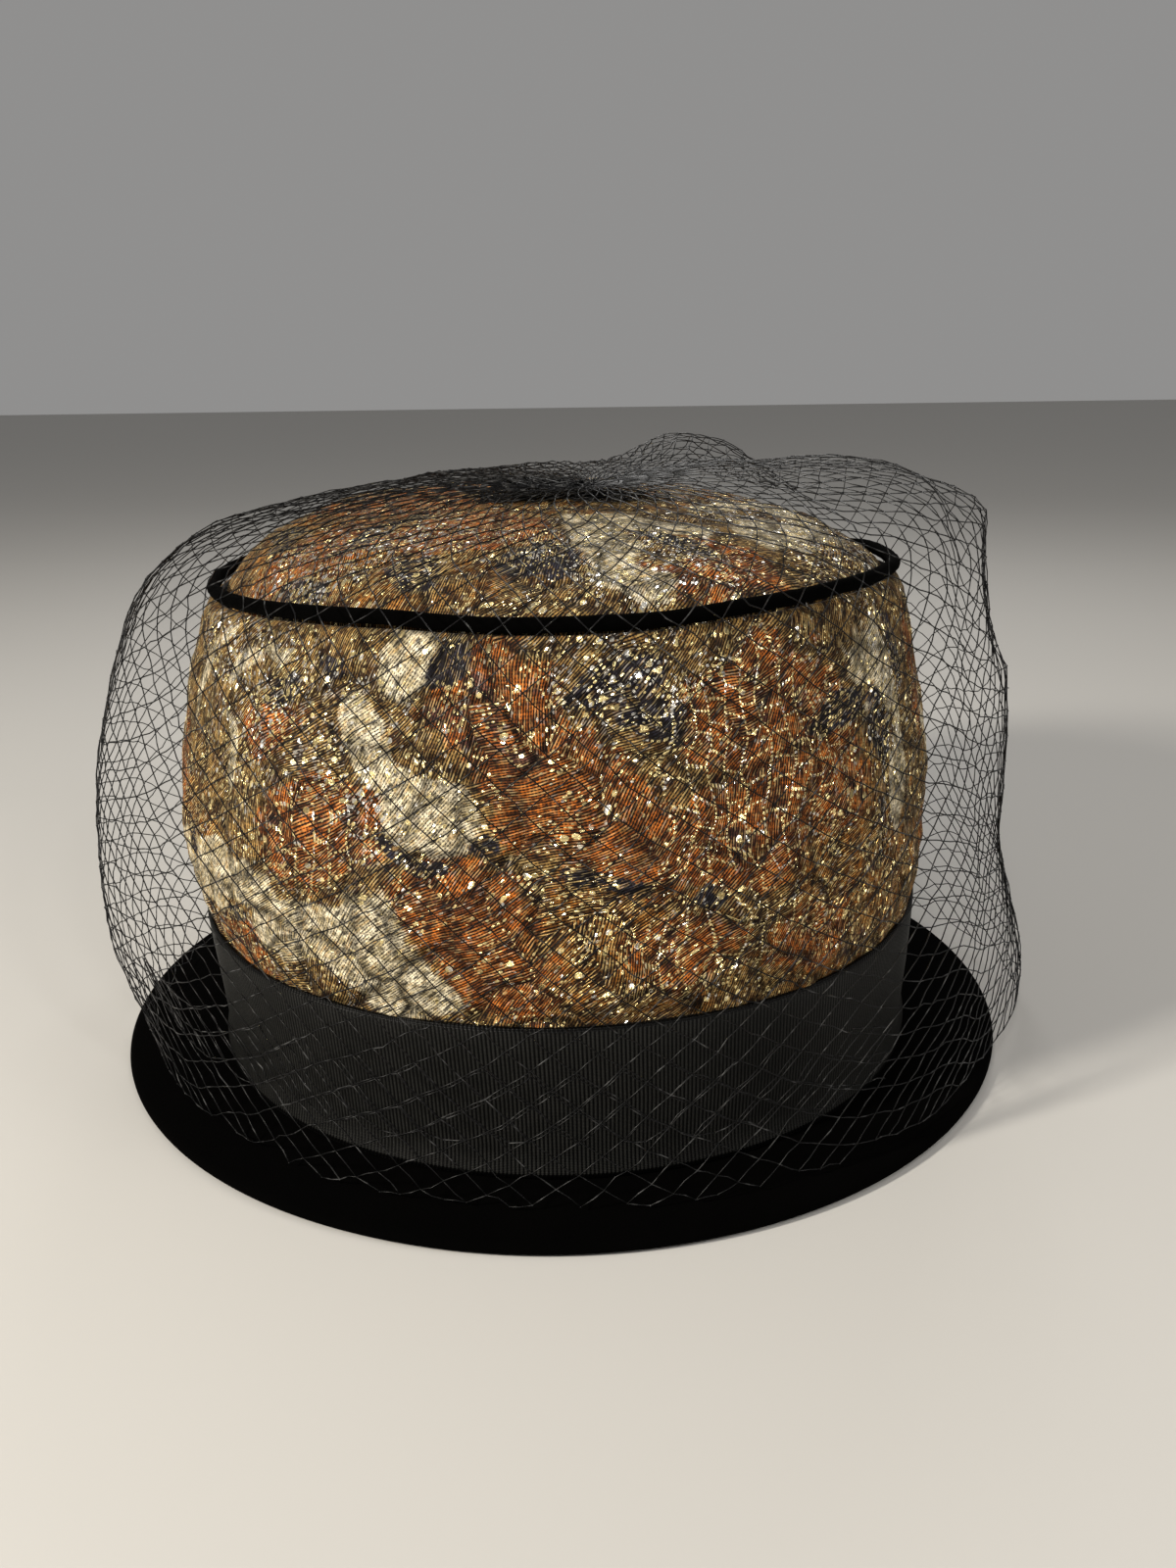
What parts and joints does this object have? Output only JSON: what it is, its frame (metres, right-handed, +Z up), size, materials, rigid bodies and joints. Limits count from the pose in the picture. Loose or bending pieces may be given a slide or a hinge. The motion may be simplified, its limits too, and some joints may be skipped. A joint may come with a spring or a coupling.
{
  "type": "pillbox hat with a small brim and a net veil",
  "caption": "Oval pillbox hat with a puffed brocade crown, velvet piping and small flat brim, ribbed ribbon band and a gathered net veil over the crown.",
  "frame": {"origin": "middle of the hat's base, on the surface that the brim rests on", "axes": "+Z up, -Y towards the front of the hat, +X towards the wearer's left"},
  "size_m": [0.2327, 0.2472, 0.1487],
  "materials": {
    "velvet": "black velvet with a short pile, on the brim and the piping",
    "grosgrain": "black ribbed ribbon with a soft dull sheen",
    "brocade": "puckered metallic brocade in rust, cream, olive gold and charcoal patches with gold and silver threads",
    "net": "fine black veiling net"
  },
  "bodies": {
    "root": {"brim": "velvet", "crown_side": "brocade", "crown_tip": "brocade", "piping": "velvet", "hat_band": "grosgrain", "veil": "net"}
  },
  "joints": []
}
